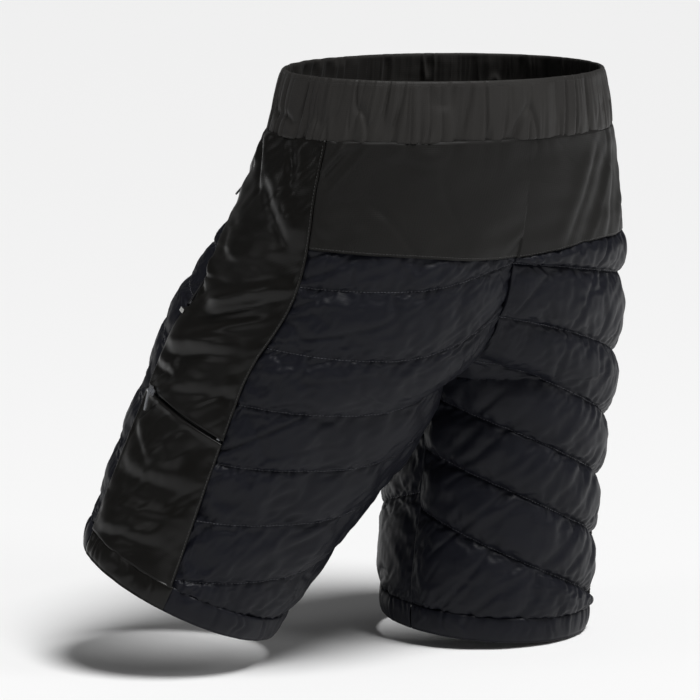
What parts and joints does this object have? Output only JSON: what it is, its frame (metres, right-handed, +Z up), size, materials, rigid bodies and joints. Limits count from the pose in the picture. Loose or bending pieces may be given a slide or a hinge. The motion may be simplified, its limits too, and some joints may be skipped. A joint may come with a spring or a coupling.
{
  "type": "insulated shorts",
  "caption": "Pull-on quilted insulated shorts, worn in a stride, with an elastic waist, stretch side panels and back yoke, and zipped pockets.",
  "frame": {"origin": "centre of the waist opening, level with its top edge at the sides", "axes": "+Z up, the wearer faces -Y, the wearer's left is +X"},
  "size_m": [0.5217, 0.3279, 0.5443],
  "materials": {
    "stretch_cloth": "satin woven stretch polyester",
    "quilt_shell": "fine downproof nylon, slight sheen",
    "lining": "smooth nylon taffeta",
    "batting": "lofted polyester fibre",
    "elastic": "knitted elastic webbing",
    "zip_tape": "woven polyester tape",
    "zip_coil": "nylon coil",
    "zip_metal": "dark lacquered zinc",
    "zip_pull": "gunmetal grey lacquer"
  },
  "bodies": {
    "root": {"waistband_cover": "stretch_cloth", "waistband_elastic": "elastic", "back_yoke": "stretch_cloth", "left_side_upper": "stretch_cloth", "left_side_lower": "stretch_cloth", "right_side_upper": "stretch_cloth", "right_side_lower": "stretch_cloth", "left_front_shell": "quilt_shell", "left_front_batting": "batting", "left_front_lining": "lining", "left_back_shell": "quilt_shell", "left_back_batting": "batting", "left_back_lining": "lining", "right_front_shell": "quilt_shell", "right_front_batting": "batting", "right_front_lining": "lining", "right_back_shell": "quilt_shell", "right_back_batting": "batting", "right_back_lining": "lining", "left_hem_front": "quilt_shell", "left_hem_side": "stretch_cloth", "left_hem_back": "quilt_shell", "right_hem_front": "quilt_shell", "right_hem_side": "stretch_cloth", "right_hem_back": "quilt_shell", "left_hand_pocket_bag": "lining", "left_thigh_pocket_bag": "lining", "right_hand_pocket_bag": "lining", "right_thigh_pocket_bag": "lining", "left_hand_zip_tape": "zip_tape", "left_hand_zip_coil": "zip_coil", "left_hand_zip_stops": "zip_metal", "left_thigh_zip_tape": "zip_tape", "left_thigh_zip_coil": "zip_coil", "left_thigh_zip_stops": "zip_metal", "right_hand_zip_tape": "zip_tape", "right_hand_zip_coil": "zip_coil", "right_hand_zip_stops": "zip_metal", "right_thigh_zip_tape": "zip_tape", "right_thigh_zip_coil": "zip_coil", "right_thigh_zip_stops": "zip_metal"},
    "left_hand_slider": {"left_hand_zip_slider": "zip_metal"},
    "left_hand_pull": {"left_hand_zip_pull": "zip_pull"},
    "left_thigh_slider": {"left_thigh_zip_slider": "zip_metal"},
    "left_thigh_pull": {"left_thigh_zip_pull": "zip_pull"},
    "right_hand_slider": {"right_hand_zip_slider": "zip_metal"},
    "right_hand_pull": {"right_hand_zip_pull": "zip_pull"},
    "right_thigh_slider": {"right_thigh_zip_slider": "zip_metal"},
    "right_thigh_pull": {"right_thigh_zip_pull": "zip_pull"}
  },
  "joints": [
    {"name": "left_hand_zip", "type": "hinge", "parent": "root", "child": "left_hand_slider", "pos_m": [0.31482, -0.4003, -0.04364], "axis": [-0.7774, -0.4533, -0.436], "range_deg": [0, 18.58]},
    {"name": "left_hand_pull_swing", "type": "hinge", "parent": "left_hand_slider", "child": "left_hand_pull", "pos_m": [0.15953, -0.07863, -0.09814], "axis": [-0.5501, -0.8351, 0], "range_deg": [0, 110]},
    {"name": "left_thigh_zip", "type": "hinge", "parent": "root", "child": "left_thigh_slider", "pos_m": [0.14472, -0.08221, -0.33041], "axis": [-0.3059, 0.342, 0.8885], "range_deg": [0, 39.39]},
    {"name": "left_thigh_pull_swing", "type": "hinge", "parent": "left_thigh_slider", "child": "left_thigh_pull", "pos_m": [0.25904, -0.10034, -0.28414], "axis": [-0.1618, -0.9868, 0], "range_deg": [0, 140]},
    {"name": "right_hand_zip", "type": "hinge", "parent": "root", "child": "right_hand_slider", "pos_m": [0.139, -0.03385, -0.25567], "axis": [0.1543, -0.988, 0.0037], "range_deg": [0, 29.89]},
    {"name": "right_hand_pull_swing", "type": "hinge", "parent": "right_hand_slider", "child": "right_hand_pull", "pos_m": [-0.15969, -0.08114, -0.09789], "axis": [-0.6601, 0.7512, 0], "range_deg": [0, 110]},
    {"name": "right_thigh_zip", "type": "hinge", "parent": "root", "child": "right_thigh_slider", "pos_m": [-0.07717, -0.03908, -0.36792], "axis": [0.0521, -0.0872, -0.9948], "range_deg": [0, 39.39]},
    {"name": "right_thigh_pull_swing", "type": "hinge", "parent": "right_thigh_slider", "child": "right_thigh_pull", "pos_m": [-0.19644, -0.07517, -0.37108], "axis": [-0.2912, 0.9567, 0], "range_deg": [0, 140]}
  ]
}
